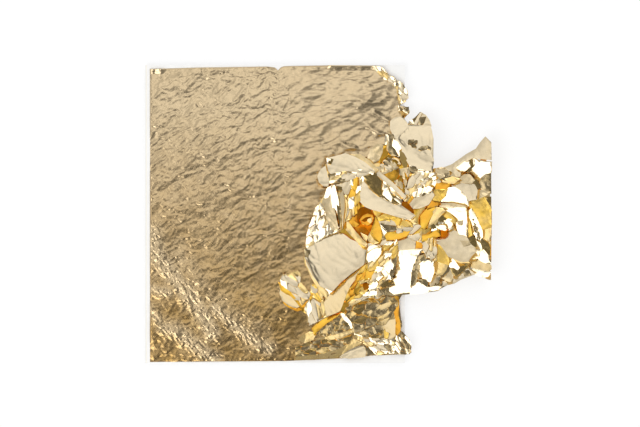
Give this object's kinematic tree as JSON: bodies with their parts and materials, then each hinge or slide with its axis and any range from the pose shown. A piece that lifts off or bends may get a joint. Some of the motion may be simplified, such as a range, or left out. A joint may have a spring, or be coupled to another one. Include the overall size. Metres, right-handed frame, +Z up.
{
  "type": "gold leaf booklet",
  "caption": "Booklet of interleaved metal leaf lying open at a wrinkled flat leaf, with a crumpled leaf on it; the cover and top page fold.",
  "frame": {"origin": "centre of the face that the booklet rests on, under the folded-back front cover", "axes": "+X from the spine to the fore edge, +Y towards the head of the pages, +Z up"},
  "size_m": [0.1632, 0.141, 0.0161],
  "materials": {
    "cover_card": "matte",
    "glue": "satin",
    "tissue": "matte",
    "leaf_metal": "satin",
    "open_leaf_metal": "satin",
    "crumpled_metal": "polished"
  },
  "bodies": {
    "booklet": {"back_cover": "cover_card", "spine_glue": "glue", "tissue_02": "tissue", "tissue_03": "tissue", "tissue_04": "tissue", "tissue_05": "tissue", "tissue_06": "tissue", "tissue_07": "tissue", "tissue_08": "tissue", "tissue_09": "tissue", "tissue_10": "tissue", "tissue_11": "tissue", "tissue_12": "tissue", "tissue_13": "tissue", "tissue_14": "tissue", "tissue_15": "tissue", "tissue_16": "tissue", "tissue_17": "tissue", "tissue_18": "tissue", "tissue_19": "tissue", "tissue_20": "tissue", "tissue_21": "tissue", "tissue_22": "tissue", "tissue_23": "tissue", "tissue_24": "tissue", "leaf_03": "leaf_metal", "leaf_04": "leaf_metal", "leaf_05": "leaf_metal", "leaf_06": "leaf_metal", "leaf_07": "leaf_metal", "leaf_08": "leaf_metal", "leaf_09": "leaf_metal", "leaf_10": "leaf_metal", "leaf_11": "leaf_metal", "leaf_12": "leaf_metal", "leaf_13": "leaf_metal", "leaf_14": "leaf_metal", "leaf_15": "leaf_metal", "leaf_16": "leaf_metal", "leaf_17": "leaf_metal", "leaf_18": "leaf_metal", "leaf_19": "leaf_metal", "leaf_20": "leaf_metal", "leaf_21": "leaf_metal", "leaf_22": "leaf_metal", "leaf_23": "leaf_metal", "leaf_24": "leaf_metal", "leaf_25": "leaf_metal"},
    "cover": {"front_cover": "cover_card"},
    "top_page": {"tissue_01": "tissue"},
    "flat_leaf": {"open_leaf": "open_leaf_metal", "turned_corner": "open_leaf_metal"},
    "loose_leaf": {"crumpled_leaf": "crumpled_metal"}
  },
  "joints": [
    {"name": "cover_fold", "type": "hinge", "parent": "booklet", "child": "cover", "pos_m": [-0.0616, 0, 0.0004], "axis": [0, 1, 0], "range_deg": [0, 180]},
    {"name": "page_turn", "type": "hinge", "parent": "booklet", "child": "top_page", "pos_m": [-0.0607, 0, 0.0032], "axis": [0, -1, 0], "range_deg": [0, 120]},
    {"name": "leaf_slide", "type": "slide", "parent": "top_page", "child": "flat_leaf", "axis": [1, 0, 0], "range_m": [0, 0.06]},
    {"name": "crumple_lift", "type": "slide", "parent": "flat_leaf", "child": "loose_leaf", "axis": [0, 0, 1], "range_m": [0, 0.04]}
  ]
}
